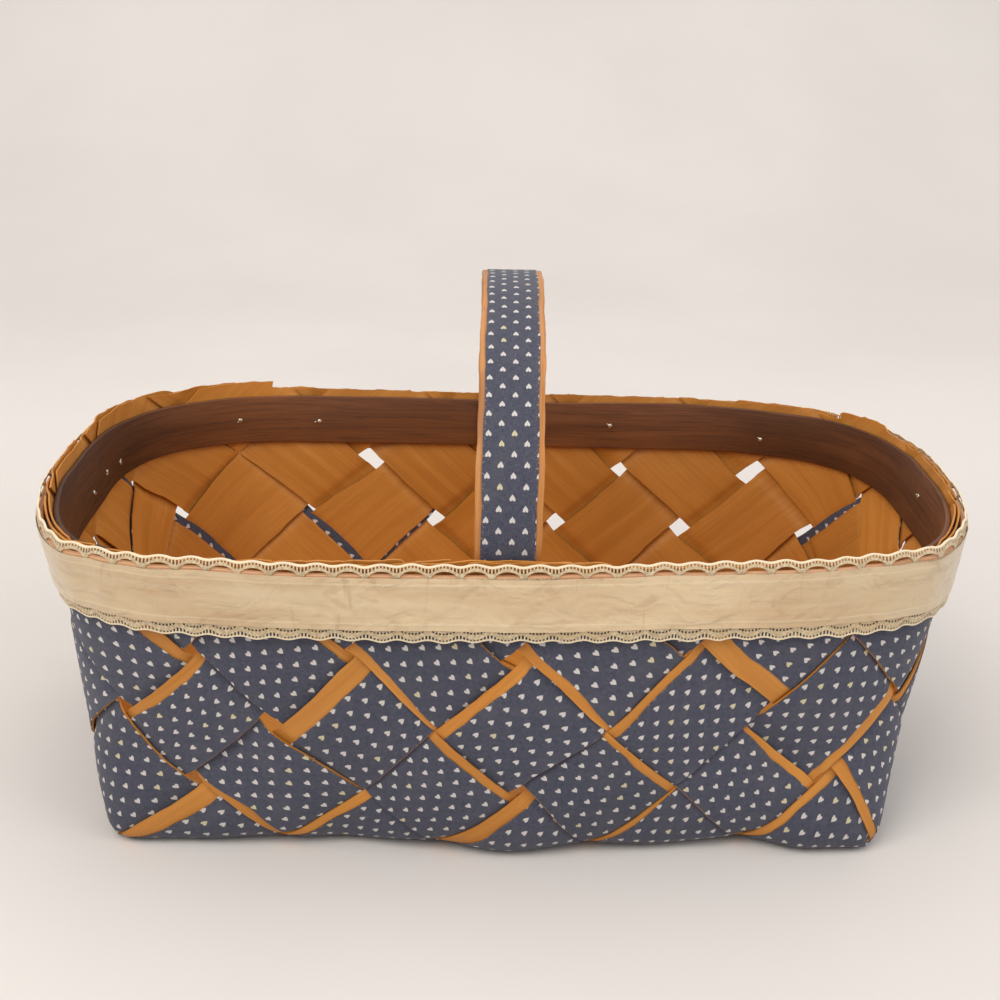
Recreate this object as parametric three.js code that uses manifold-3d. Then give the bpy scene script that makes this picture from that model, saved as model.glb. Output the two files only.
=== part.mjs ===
// A bias-plaited splint basket: sixteen flat wood splints, each faced with a calico tape, run
// slantwise down one wall, across the base and up another wall. The rim is nailed between an
// inner and an outer hoop, the outer one covered by a ribbon edged with lace, and one fixed
// handle arches across the short way. Millimetres, Z up, standing on Z = 0.

import * as THREE from 'three';
import { mergeVertices } from 'three/addons/utils/BufferGeometryUtils.js';
import Module from 'manifold-3d';

const wasm = await Module();
wasm.setup();

// Weave: a cell is one diamond of the plait, measured from corner to corner
const cellCountLong = 5;
const cellCountWide = 3;
const cellsHigh = 2.08;
const cellSize = 65.5;
const baseGap = 2.7;
const rimGap = 5.4;

// Shell of the basket, measured on the middle surface of the weave
const rimLength = 400;
const rimWidth = 245;
const wallHeight = 135;
const baseCornerRadius = 10;
const rimCornerRadius = 94;
const cornerShareCells = 0.5;
const edgeReach = 10;
const bowShare = 0.53;

// Splints and their calico tapes
const veneerThickness = 0.8;
const tapeThickness = 0.3;
const tapeGap = 0.2;
const crossingGap = 0.5;
const endStandMin = 1.5;
const endStandVariation = 3;
const endStandStep = 2.4;

// Rim hoops, ribbon and lace
const hoopHeight = 25.4;
const hoopThickness = 2.4;
const innerHoopGap = 0.35;
const outerHoopGap = 0.85;
const ribbonWidth = 24;
const ribbonThickness = 0.4;
const ribbonGap = 0.3;
const laceWidth = 5.5;
const laceThickness = 0.4;
const laceGap = 0.3;

// Handle
const handleWidth = 27.2;
const handleThickness = 2.2;
const handleRise = 90.5;
const handleFrontOffset = -3.6;
const handleBackOffset = 3.3;
const handleGap = 0.3;
const handleFootDrop = 3;
const handleShoulder = 48;
const handleCrown = 68;
const handleTapeWidth = 22.2;
const handleTapeClear = 1;

// Nails through the inner hoop, and tacks through the feet of the handle. A nail's place is how many
// cells round the rim it is, and how high on the hoop, from 0 at its foot to 1 at its top.
const nailsOnHoop = [
  [12.49, 0.5], [11.89, 0.45], [8.44, 0.35],
  [13.71, 0.3], [14.01, 0.35], [14.4, 0.3], [6.44, 0.6],
  [0.7, 0.5], [1.6, 0.4], [3.4, 0.55], [4.4, 0.45], [9.6, 0.5],
];
const nailShankRadius = 0.6;
const nailHeadRadius = 1.4;
const nailHeadHeight = 0.5;
const nailHeadEdge = 0.7;
const nailHoleGap = 0.3;
const nailSeatGap = 0.3;
const tackSpacing = 12;
const drillPast = 1;
const facetEnd = 0.2;

const veneerColour = 0xb07238;
const calicoColour = 0x56586a;
const hoopColour = 0x6b4a30;
const ribbonColour = 0xdcc6a2;
const laceColour = 0xe6d3ac;
const handleColour = 0xbb8148;
const nailColour = 0x8d8175;

const cellsRound = 2 * (cellCountLong + cellCountWide);
const stackHalf = veneerThickness + tapeGap + tapeThickness + crossingGap / 2;
const flareRun = (rimLength - cellCountLong * cellSize + rimWidth - cellCountWide * cellSize) / 4;
const wallBow = bowShare * flareRun;
const wallRise = wallHeight - stackHalf;
const rowHeight = Math.hypot(wallRise, flareRun) / cellsHigh;
const flareSine = flareRun / Math.hypot(wallRise, flareRun);

// The four walls in order round the basket. A place on the wall is given by u, counted in
// cells from the front left corner, and by v, counted in cells up from the base edge.
const longWall = { cells: cellCountLong, across: cellCountWide, rim: rimLength, rimAcross: rimWidth };
const shortWall = { cells: cellCountWide, across: cellCountLong, rim: rimWidth, rimAcross: rimLength };
const sides = [
  { ...longWall, bow: wallBow, along: [1, 0], out: [0, -1] },
  { ...shortWall, bow: 0, along: [0, 1], out: [1, 0] },
  { ...longWall, bow: wallBow, along: [-1, 0], out: [0, 1] },
  { ...shortWall, bow: 0, along: [0, -1], out: [-1, 0] },
];
sides.forEach((side, index) => {
  side.start = sides.slice(0, index).reduce((sum, before) => sum + before.cells, 0);
  side.corner = [0, 1].map((k) => side.out[k] * side.across / 2 - side.along[k] * side.cells / 2);
});
const [frontSide, rightSide, backSide, leftSide] = sides;

const mix = (a, b, t) => a + (b - a) * t;
const dot2 = (a, b) => a[0] * b[0] + a[1] * b[1];
const step2 = (from, way, length) => [from[0] + way[0] * length, from[1] + way[1] * length];

// A rounded corner is a parabola that touches the sharp sides at its reach from the sharp corner.
// The ratio makes it cut off as much of the corner as an arc does.
const reachPerRadius = 1.17;
const parabolaReach = (radius) => reachPerRadius * radius;

// How far the parabola has moved a point in, at a distance from the sharp corner
function bend(distance, reach) {
  return distance < reach ? reach / 4 * (1 - distance / reach) ** 2 : 0;
}

const foldIn = (distance) => (1 - flareSine) * bend(distance, edgeReach);
const foldUp = (distance) => Math.sqrt(1 - flareSine ** 2) * bend(distance, edgeReach);

// The cells keep their size up the wall, and the room that the flare adds lies next to the corners:
// the share of it that is used up within so many cells of a corner
const cornerShare = (cells) => 1 - Math.exp(-cells / cornerShareCells);

// A long wall stands out in its middle, at the base edge and above, as far as its bow
const bowOut = (bow, share) => bow * Math.sin(Math.PI * share) ** 2;

function wallReach(up, shortest) {
  const reach = parabolaReach(mix(baseCornerRadius, rimCornerRadius, up));
  return Math.min(reach, shortest / 2);
}

function sideLength(side, up) {
  return mix(side.cells * cellSize, side.rim, up);
}

// A point of the weave's middle surface on the wall
function wallPoint(u, v) {
  const round = ((u % cellsRound) + cellsRound) % cellsRound;
  const side = sides.findLast((candidate) => candidate.start <= round);
  const cells = round - side.start;
  const up = v / cellsHigh;
  const length = sideLength(side, up);
  const depth = mix(side.across * cellSize, side.rimAcross, up) / 2;
  const reach = wallReach(up, Math.min(length, 2 * depth));
  const full = cornerShare(side.cells);
  const room = (length - side.cells * cellSize) / 2 / full;
  const sharp = cellSize * cells + room * (cornerShare(cells) - cornerShare(side.cells - cells) + full);
  const height = v * rowHeight;
  const rounding = [bend(sharp, reach), bend(length - sharp, reach)];
  const folding = [foldIn(Math.max(sharp, height)), foldIn(Math.max(length - sharp, height))];
  const along = sharp - length / 2 + rounding[0] + folding[0] - rounding[1] - folding[1];
  const bow = bowOut(side.bow, cells / side.cells) * (1 - up ** 2) ** 2;
  const out = depth + bow - rounding[0] - rounding[1] - foldIn(height);
  return new THREE.Vector3(
    side.along[0] * along + side.out[0] * out,
    side.along[1] * along + side.out[1] * out,
    stackHalf + wallRise * up + foldUp(height),
  );
}

// A point of the middle surface on the base, from its place in cells
function basePoint(place) {
  const half = [cellCountLong / 2, cellCountWide / 2];
  const inset = place.map((value, k) => Math.max(0, (half[k] - Math.abs(value)) * cellSize));
  const corner = bend(inset[0] + inset[1], parabolaReach(baseCornerRadius));
  const [x, y] = place.map((value, k) => value * cellSize - Math.sign(value) * (corner + foldIn(inset[k])));
  const bow = bowOut(wallBow, place[0] / cellCountLong + 0.5) * place[1] / half[1];
  return new THREE.Vector3(x, y + bow, stackHalf + foldUp(Math.min(...inset)));
}

// The base and one wall laid flat in one plane, in cells: past the base edge it is the wall
function sheetPoint(side, place) {
  const from = [place[0] - side.corner[0], place[1] - side.corner[1]];
  const v = dot2(from, side.out);
  return v > 0 ? wallPoint(side.start + dot2(from, side.along), v) : basePoint(place);
}

// Half the step between the two places whose difference gives a direction on the surface
const probe = 0.004;

function sheetNormal(side, place) {
  const [left, right] = [-probe, probe].map((d) => sheetPoint(side, [place[0] + d, place[1]]));
  const [near, far] = [-probe, probe].map((d) => sheetPoint(side, [place[0], place[1] + d]));
  return far.sub(near).cross(right.sub(left)).normalize();
}

function wallNormal(u, v) {
  const [left, right] = [-probe, probe].map((d) => wallPoint(u + d, v));
  const [low, high] = [-probe, probe].map((d) => wallPoint(u, v + d));
  return right.sub(left).cross(high.sub(low)).normalize();
}

// A net of faces on the middle surface that becomes a thin solid between two heights along its
// normals. The level of a vertex shifts both heights there.
class Patch {
  constructor() {
    this.vertices = [];
    this.faces = [];
  }

  vertex(point, normal, level = 0) {
    this.vertices.push({ point, normal, level });
    return this.vertices.length - 1;
  }

  // Adds a triangle so that it faces along its normals, unless two of its corners are one
  face(a, b, c) {
    if (a === b || b === c || a === c) return;
    const [p, q, r] = [a, b, c].map((index) => this.vertices[index]);
    const facing = q.point.clone().sub(p.point).cross(r.point.clone().sub(p.point));
    this.faces.push(facing.dot(q.normal) > 0 ? [a, b, c] : [a, c, b]);
  }

  quad(a, b, c, d) {
    this.face(a, b, c);
    this.face(a, c, d);
  }

  // Fills the strip between two rows of vertices that may differ in number
  zip(rowA, rowB) {
    let [a, b] = [0, 0];
    while (a < rowA.length - 1 || b < rowB.length - 1) {
      const stepA = b === rowB.length - 1 || (a + 1) / (rowA.length - 1) <= (b + 1) / (rowB.length - 1);
      if (stepA && a < rowA.length - 1) {
        this.face(rowA[a], rowA[a + 1], rowB[b]);
        a += 1;
      } else {
        this.face(rowA[a], rowB[b + 1], rowB[b]);
        b += 1;
      }
    }
  }

  solid(inner, outer) {
    const lifted = (height) => this.vertices.map(({ point, normal, level }) => (
      point.clone().addScaledVector(normal, level + height)
    ));
    const points = [...lifted(outer), ...lifted(inner)];
    const count = this.vertices.length;
    const edges = new Set(this.faces.flatMap(([a, b, c]) => [`${a} ${b}`, `${b} ${c}`, `${c} ${a}`]));
    const index = [];
    for (const [a, b, c] of this.faces) {
      index.push(a, b, c, count + a, count + c, count + b);
      for (const [from, to] of [[a, b], [b, c], [c, a]]) {
        const onRim = !edges.has(`${to} ${from}`);
        if (onRim) index.push(to, from, count + from, to, count + from, count + to);
      }
    }
    const geometry = new THREE.BufferGeometry().setFromPoints(points);
    geometry.setIndex(index);
    return geometry;
  }
}

// Half the width of a splint, as a share of the splint pitch, at a height on the wall
function splintHalf(v) {
  const pitch = cellSize * rowHeight / Math.hypot(cellSize, rowHeight);
  const gapShare = v > 0 ? mix(baseGap, rimGap, v / cellsHigh) / pitch : baseGap * Math.SQRT2 / cellSize;
  return (1 - gapShare) / 2;
}

// The half cell in which every splint ends, and how far inward a splint lies that passes under
const lastRow = Math.ceil(2 * cellsHigh) - 1;
const levelShift = stackHalf + crossingGap / 2;

// How high on the wall a cell lies, how finely it is divided and which way its squares are split.
// Cells are fine where the surface curves, and near the base edge.
const onEdge = 0.01;
const nearEdge = 0.51;

function cellDivision(side, place) {
  const from = [place[0] - side.corner[0], place[1] - side.corner[1]];
  const v = dot2(from, side.out);
  const edgewise = side === frontSide || side === backSide;
  if (v > onEdge) {
    const u = side.start + dot2(from, side.along);
    const half = cellsRound / 2;
    const toCorners = sides.map(({ start }) => Math.abs(((u - start + 3 * half) % cellsRound) - half));
    const curved = Math.min(...toCorners) - 0.5 < wallReach(v / cellsHigh, rimWidth) / cellSize;
    return { count: curved ? 2 : 1, alongX: !edgewise, v };
  }
  if (v > -onEdge) return { count: 2, alongX: edgewise, v: 0 };
  const inset = [cellCountLong / 2 - Math.abs(place[0]), cellCountWide / 2 - Math.abs(place[1])];
  return { count: Math.min(...inset) < nearEdge ? 2 : 1, alongX: inset[1] < inset[0], v: -1 };
}

// One splint as a patch. Across the base Y grows with X on a rising splint and falls on a falling one.
// It goes cell by cell, over and under in turn, and both its ends are cut level above the rim.
function splintPatch(rising, number) {
  const slope = rising ? 1 : -1;
  const middle = number + 0.5;
  const way = [1, slope];
  const lateral = [1, -slope];
  const half = [cellCountLong / 2, cellCountWide / 2];
  const firstX = Math.max(-half[0], middle - half[1]);
  const lastX = Math.min(half[0], middle + half[1]);
  const startSide = firstX === -half[0] ? leftSide : rising ? frontSide : backSide;
  const endSide = lastX === half[0] ? rightSide : rising ? backSide : frontSide;
  const startLeansRight = rising === (startSide === leftSide);
  const baseSteps = Math.round(2 * (lastX - firstX));
  const patch = new Patch();
  let before = null;
  for (let step = -lastRow; step <= baseSteps + lastRow; step += 1) {
    const x = firstX + step / 2;
    const centre = [x, slope * (x - middle)];
    const side = step < baseSteps / 2 ? startSide : endSide;
    const { count, alongX, v } = cellDivision(side, centre);
    const width = splintHalf(v);
    const over = (step % 2 === 0) === startLeansRight;
    const level = over ? 0 : -levelShift;
    const add = (place) => patch.vertex(sheetPoint(side, place), sheetNormal(side, place), level);
    const steps = Array.from({ length: count + 1 }, (_, k) => 2 * k / count - 1);
    const row = (a) => {
      const middleOfRow = step2(centre, way, a * width / 2);
      return steps.map((b) => add(step2(middleOfRow, lateral, b * width / 2)));
    };
    const atStart = step === -lastRow;
    const atEnd = step === baseSteps + lastRow;
    if (atStart || atEnd) {
      const entry = row(atStart ? 1 : -1);
      if (atEnd) patch.zip(before, entry);
      const leansRight = rising === (side === leftSide || side === rightSide);
      const endIndex = 2 * (number + cellsRound) + (rising ? 0 : 1) + (atEnd ? 5 : 0);
      const stand = endStandMin + endStandVariation * (0.5 + 0.5 * Math.sin(endStandStep * endIndex));
      const top = cellsHigh + stand / rowHeight - v;
      const low = dot2(side.out, lateral) > 0 ? 0 : steps.length - 1;
      const climb = low === 0 ? [...entry].reverse() : entry;
      const shares = Array.from({ length: 2 * count + 1 }, (_, k) => (k / count - 1) * width);
      const aim = leansRight ? 1 : -1;
      const seat = (t, height) => add(step2(step2(centre, side.along, aim * t), side.out, height));
      const lower = shares.map((t, k) => (k <= count ? climb[k] : seat(t, t - width)));
      const upper = shares.map((t, k) => (k === 0 ? lower[0] : seat(t, Math.min(top, t + width))));
      const cutAt = top - width;
      const cut = shares.some((t) => Math.abs(t - cutAt) < onEdge) ? null : seat(cutAt, top);
      for (let k = 1; k < shares.length; k += 1) {
        const cutHere = cut !== null && cutAt > shares[k - 1] && cutAt < shares[k];
        if (cutHere) patch.face(lower[k], upper[k], cut);
        patch.quad(lower[k], cutHere ? cut : upper[k], upper[k - 1], lower[k - 1]);
      }
      patch.face(lower.at(-1), seat(top + width, top), upper.at(-1));
      before = entry;
      continue;
    }
    const rows = steps.map(row);
    patch.zip(before, rows[0]);
    for (let a = 0; a < count; a += 1) {
      for (let b = 0; b < count; b += 1) {
        const [near, far] = [rows[a], rows[a + 1]];
        if (alongX) patch.quad(near[b], far[b], far[b + 1], near[b + 1]);
        else patch.quad(far[b], far[b + 1], near[b + 1], near[b]);
      }
    }
    before = rows[count];
  }
  return patch;
}

const wallPlace = (u, v) => ({ point: wallPoint(u, v), normal: wallNormal(u, v) });

// A band round the rim between two heights on the wall, in flat facets, so many to a cell
const ringFacets = 4;

function ringPatch(lowV, highV) {
  const patch = new Patch();
  const stepsRound = ringFacets * cellsRound;
  const columns = Array.from({ length: stepsRound }, (_, k) => {
    const u = k / ringFacets;
    return [lowV, highV].map((v) => patch.vertex(wallPoint(u, v), wallNormal(u, v)));
  });
  columns.forEach(([low, high], k) => {
    const [nextLow, nextHigh] = columns[(k + 1) % stepsRound];
    patch.quad(low, nextLow, nextHigh, high);
  });
  return patch;
}

function toManifold(geometry) {
  const bare = geometry.clone();
  bare.deleteAttribute('normal');
  bare.deleteAttribute('uv');
  const merged = mergeVertices(bare, 1e-4);
  return new wasm.Manifold(new wasm.Mesh({
    numProp: 3,
    vertProperties: Float32Array.from(merged.attributes.position.array),
    triVerts: Uint32Array.from(merged.index.array),
  }));
}

function fromManifold(solid) {
  const mesh = solid.getMesh();
  const geometry = new THREE.BufferGeometry();
  geometry.setAttribute('position', new THREE.BufferAttribute(Float32Array.from(mesh.vertProperties), 3));
  geometry.setIndex([...mesh.triVerts]);
  return geometry;
}

// A turned piece at a point of the wall, standing along its normal
const turnedSides = 8;

function turned(profile, { point, normal }) {
  const geometry = new THREE.LatheGeometry(profile.map(([r, h]) => new THREE.Vector2(r, h)), turnedSides);
  const turn = new THREE.Quaternion().setFromUnitVectors(new THREE.Vector3(0, 1, 0), normal);
  return geometry.applyQuaternion(turn).translate(point.x, point.y, point.z);
}

// A nail seen from inside: its head stands in from the surface at headLevel, its point lies at tipLevel
function nailProfile(headLevel, tipLevel) {
  return [
    [0, headLevel - nailHeadHeight],
    [nailHeadEdge * nailHeadRadius, headLevel - nailHeadEdge * nailHeadHeight],
    [nailHeadRadius, headLevel],
    [nailShankRadius, headLevel],
    [nailShankRadius, tipLevel],
    [0, tipLevel],
  ];
}

function drill(geometry, places, fromLevel, toLevel) {
  const radius = nailShankRadius + nailHoleGap;
  const profile = [[0, fromLevel], [radius, fromLevel], [radius, toLevel], [0, toLevel]];
  const holes = places.map((place) => toManifold(turned(profile, place)));
  return fromManifold(holes.reduce((solid, hole) => solid.subtract(hole), toManifold(geometry)));
}

const basket = new THREE.Group();

function addPiece(name, geometry, colour, roughness, metalness = 0) {
  const material = new THREE.MeshStandardMaterial({ color: colour, roughness, metalness });
  const mesh = new THREE.Mesh(geometry, material);
  mesh.name = name;
  basket.add(mesh);
}

// Splints and tapes, numbered from the left
const familyCount = cellCountLong + cellCountWide;
for (const rising of [true, false]) {
  for (let k = 0; k < familyCount; k += 1) {
    const patch = splintPatch(rising, k - familyCount / 2);
    const label = `${rising ? 'rising' : 'falling'}_${String(k + 1).padStart(2, '0')}`;
    const base = crossingGap / 2;
    const tapeBase = base + veneerThickness + tapeGap;
    addPiece(`splint_${label}`, patch.solid(base, base + veneerThickness), veneerColour, 0.65);
    addPiece(`calico_${label}`, patch.solid(tapeBase, tapeBase + tapeThickness), calicoColour, 0.9);
  }
}

// Hoops
const hoopFoot = cellsHigh - hoopHeight / rowHeight;
const innerFace = -stackHalf - innerHoopGap;
const innerBack = innerFace - hoopThickness;
const outerFace = stackHalf + outerHoopGap;
const outerBack = outerFace + hoopThickness;
const hoopMiddle = (cellsHigh + hoopFoot) / 2;
const hoopPatch = ringPatch(hoopFoot, cellsHigh);

// A place between two others, on the flat facet that joins them
function placeBetween(from, to, share) {
  const normal = from.normal.clone().add(to.normal).normalize();
  return { point: from.point.clone().lerp(to.point, share), normal };
}

// A place on a flat facet of the hoop, clear of the facet's ends, from its height on the hoop
function hoopPlace([u, height]) {
  const start = Math.floor(u * ringFacets) / ringFacets;
  const share = THREE.MathUtils.clamp((u - start) * ringFacets, facetEnd, 1 - facetEnd);
  const [from, to] = [start, start + 1 / ringFacets].map((end) => (
    placeBetween(wallPlace(end, hoopFoot), wallPlace(end, cellsHigh), height)
  ));
  return placeBetween(from, to, share);
}

const nailPlaces = nailsOnHoop.map(hoopPlace);

// Feet of the handle lie inside the inner hoop, a little to either side of the middle of its wall
const cellsAcross = (offset) => offset * cellCountLong / rimLength;
const frontFootU = cellCountLong / 2 + cellsAcross(handleFrontOffset);
const backFootU = backSide.start + cellCountLong / 2 - cellsAcross(handleBackOffset);
const footU = [frontFootU, backFootU];
const tackHeights = [-0.5, 0.5].map((share) => 0.5 + share * tackSpacing / hoopHeight);
const tackPlaces = footU.flatMap((u) => tackHeights.map((height) => hoopPlace([u, height])));

const plainHoop = hoopPatch.solid(innerBack, innerFace);
const hoopHoles = [...nailPlaces, ...tackPlaces];
const innerHoop = drill(plainHoop, hoopHoles, innerBack - drillPast, innerFace + drillPast);
addPiece('inner_hoop', innerHoop, hoopColour, 0.6);
addPiece('outer_hoop', hoopPatch.solid(outerFace, outerBack), hoopColour, 0.7);

// Ribbon over the outer hoop, and a lace edge above and below it
const ribbonFace = outerBack + ribbonGap;
const ribbonTop = hoopMiddle + ribbonWidth / rowHeight / 2;
const ribbonFoot = hoopMiddle - ribbonWidth / rowHeight / 2;
const ribbon = ringPatch(ribbonFoot, ribbonTop);
addPiece('ribbon', ribbon.solid(ribbonFace, ribbonFace + ribbonThickness), ribbonColour, 0.5);
const laceStart = laceGap / rowHeight;
const laceEnd = laceStart + laceWidth / rowHeight;
const upperLace = ringPatch(ribbonTop + laceStart, ribbonTop + laceEnd);
const lowerLace = ringPatch(ribbonFoot - laceEnd, ribbonFoot - laceStart);
addPiece('upper_lace', upperLace.solid(ribbonFace, ribbonFace + laceThickness), laceColour, 0.85);
addPiece('lower_lace', lowerLace.solid(ribbonFace, ribbonFace + laceThickness), laceColour, 0.85);

// The handle's line in the plane across the basket: up from one foot, over the crown, down to the other
const legLevel = -innerBack + handleGap + handleThickness / 2;
const legPoint = (v) => {
  const { point, normal } = wallPlace(cellCountLong / 2, v);
  return point.addScaledVector(normal, -legLevel);
};
const footPoint = legPoint(hoopFoot - handleFootDrop / rowHeight);
const shoulderPoint = legPoint(cellsHigh);
const legWay = shoulderPoint.clone().sub(footPoint).normalize();
const crownPoint = new THREE.Vector3(0, 0, wallHeight + handleRise - handleThickness / 2);
const archHalf = new THREE.CubicBezierCurve3(
  shoulderPoint,
  shoulderPoint.clone().addScaledVector(legWay, handleShoulder),
  crownPoint.clone().add(new THREE.Vector3(0, -handleCrown, 0)),
  crownPoint,
);
const archSteps = 10;
const frontLine = archHalf.getPoints(archSteps);
const mirrored = frontLine.slice(0, -1).reverse().map((p) => new THREE.Vector3(p.x, -p.y, p.z));
const footLine = [footPoint, new THREE.Vector3(footPoint.x, -footPoint.y, footPoint.z)];
const handleLine = [footLine[0], ...frontLine, ...mirrored, footLine[1]];

function handlePatch(line, width) {
  const patch = new Patch();
  const rows = line.map((point, k) => {
    const way = line[Math.min(k + 1, line.length - 1)].clone().sub(line[Math.max(k - 1, 0)]).normalize();
    const normal = new THREE.Vector3(1, 0, 0).cross(way).negate().normalize();
    const offset = mix(handleFrontOffset, handleBackOffset, (point.y - footPoint.y) / (-2 * footPoint.y));
    const ends = [offset - width / 2, offset + width / 2];
    return ends.map((x) => patch.vertex(new THREE.Vector3(x, point.y, point.z), normal.clone().negate()));
  });
  rows.slice(1).forEach((row, k) => patch.quad(rows[k][0], rows[k][1], row[1], row[0]));
  return patch;
}

const plainHandle = handlePatch(handleLine, handleWidth).solid(-handleThickness / 2, handleThickness / 2);
const handle = drill(plainHandle, tackPlaces, -legLevel - handleThickness, innerBack);
addPiece('handle', handle, handleColour, 0.55);

// The calico on the handle stops just above the rim on both sides
const tapeLine = handleLine.slice(1, -1);
tapeLine[0] = archHalf.getPoint(handleTapeClear / handleShoulder);
tapeLine[tapeLine.length - 1] = new THREE.Vector3(0, -tapeLine[0].y, tapeLine[0].z);
const tapeFoot = handleThickness / 2 + tapeGap;
const handleTape = handlePatch(tapeLine, handleTapeWidth).solid(tapeFoot, tapeFoot + tapeThickness);
addPiece('handle_calico', handleTape, calicoColour, 0.9);

const nailHead = innerBack - nailSeatGap;
const nailTip = innerFace - nailSeatGap / 2;
nailPlaces.forEach((place, k) => {
  const nail = turned(nailProfile(nailHead, nailTip), place);
  addPiece(`rim_nail_${String(k + 1).padStart(2, '0')}`, nail, nailColour, 0.45, 0.8);
});
const tackHead = -legLevel - handleThickness / 2 - nailSeatGap;
tackPlaces.forEach((place, k) => {
  const tack = turned(nailProfile(tackHead, nailTip), place);
  addPiece(`handle_tack_${k + 1}`, tack, nailColour, 0.45, 0.8);
});

export default basket;
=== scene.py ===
# Plaited splint basket with cloth-faced splints, a ribboned rim and one fixed handle, dressed over the CAD
# frame. Metres, +X along the long side of the rim, +Z up, standing on Z = 0.
import bpy
import numpy as np
from mathutils import Matrix, Vector


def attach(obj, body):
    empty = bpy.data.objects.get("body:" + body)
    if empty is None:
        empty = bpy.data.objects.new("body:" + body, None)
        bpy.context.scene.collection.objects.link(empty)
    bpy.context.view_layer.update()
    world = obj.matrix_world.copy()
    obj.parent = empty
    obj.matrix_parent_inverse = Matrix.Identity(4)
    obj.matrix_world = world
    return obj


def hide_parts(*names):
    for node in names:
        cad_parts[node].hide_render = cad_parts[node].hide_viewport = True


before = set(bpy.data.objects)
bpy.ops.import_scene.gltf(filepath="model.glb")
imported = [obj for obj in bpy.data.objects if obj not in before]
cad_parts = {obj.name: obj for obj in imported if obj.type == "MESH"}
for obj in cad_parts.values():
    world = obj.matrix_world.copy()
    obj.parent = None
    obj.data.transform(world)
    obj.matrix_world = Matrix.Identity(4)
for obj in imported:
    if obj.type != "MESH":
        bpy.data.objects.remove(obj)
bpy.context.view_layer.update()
print("frame loaded:", len(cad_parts), "nodes")

basket = {
    "cellsLong": 5, "cellsWide": 3, "cellsHigh": 2.08,  # diamonds of the plait along, across and up
    "cellSize": 0.0655,
    "baseGap": 0.0027, "rimGap": 0.0054,  # between neighbouring splints, low down and at the rim
    "rimLength": 0.400, "rimWidth": 0.245, "wallHeight": 0.135,
    "baseCornerRadius": 0.010, "rimCornerRadius": 0.094, "reachPerRadius": 1.17,
    "cornerShareCells": 0.5, "edgeReach": 0.010, "bowShare": 0.53,
    "stackHalf": 0.00155, "levelShift": 0.0018,
}
halfLong, halfWide = basket["cellsLong"] / 2, basket["cellsWide"] / 2
cellsHigh, cellSize = basket["cellsHigh"], basket["cellSize"]
cellDiagonal = cellSize * np.sqrt(2)
cellsRound = 2 * (basket["cellsLong"] + basket["cellsWide"])
flareRun = (basket["rimLength"] + basket["rimWidth"] - 2 * (halfLong + halfWide) * cellSize) / 4
wallRise = basket["wallHeight"] - basket["stackHalf"]
wallSlant = np.hypot(wallRise, flareRun)
rowHeight = wallSlant / cellsHigh
flareSine, flareCosine = flareRun / wallSlant, wallRise / wallSlant

# The walls in order round the basket
front, right, back, left = range(4)
wallCells = np.array([basket["cellsLong"], basket["cellsWide"]] * 2)
wallRim = np.array([basket["rimLength"], basket["rimWidth"]] * 2)
wallAcross, wallRimAcross = wallCells[[1, 0, 1, 0]], wallRim[[1, 0, 1, 0]]
wallAlong = np.array([[1, 0], [0, 1], [-1, 0], [0, -1]])
wallOut = np.array([[0, -1], [1, 0], [0, 1], [-1, 0]])
wallBow = basket["bowShare"] * flareRun * np.array([1, 0, 1, 0])
wallStart = np.concatenate([[0], np.cumsum(wallCells)[:-1]])
wallCorner = wallOut * wallAcross[:, None] / 2 - wallAlong * wallCells[:, None] / 2


def unit(vectors):
    return vectors / np.linalg.norm(vectors, axis=-1, keepdims=True)


def smooth(low, high, value):
    t = np.clip((value - low) / (high - low), 0, 1)
    return t * t * (3 - 2 * t)


def between(value, table):
    return np.interp(value, list(table), list(table.values()))


# Levels given by marks in a table, and eased between them so that the slope is 0 at each mark
def ease(value, table):
    marks, levels = np.array(list(table), float), np.array(list(table.values()), float)
    k = np.clip(np.searchsorted(marks, value, side="right") - 1, 0, len(marks) - 2)
    share = smooth(0, 1, (value - marks[k]) / (marks[k + 1] - marks[k]))
    return levels[k] + (levels[k + 1] - levels[k]) * share


# A sum of sines with fixed random phases, about -1 to 1: the small unevenness of a hand-cut edge. With a
# period every sine fits it a whole number of times.
def unevenness(places, wavelength, seed, octaves=4, period=None):
    draws = np.random.default_rng(seed)
    total = np.zeros_like(places)
    for octave in range(octaves):
        pace = 2 ** octave / wavelength * draws.uniform(0.8, 1.25)
        if period:
            pace = max(1, round(pace * period)) / period
        total += np.sin(2 * np.pi * places * pace + draws.uniform(0, 2 * np.pi)) / 1.7 ** octave
    return total / 1.6


# reach / 4 * (1 - distance / reach)^2: how far a parabola that rounds a corner moves a point in
def bend(distance, reach):
    return np.where(distance < reach, reach / 4 * (1 - distance / reach) ** 2, 0)


def foldIn(distance):
    return (1 - flareSine) * bend(distance, basket["edgeReach"])


def foldUp(distance):
    return flareCosine * bend(distance, basket["edgeReach"])


# 1 - e^(-cells / share): the share of the flare's extra room used up within so many cells of a corner
def cornerShare(cells):
    return 1 - np.exp(-cells / basket["cornerShareCells"])


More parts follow.
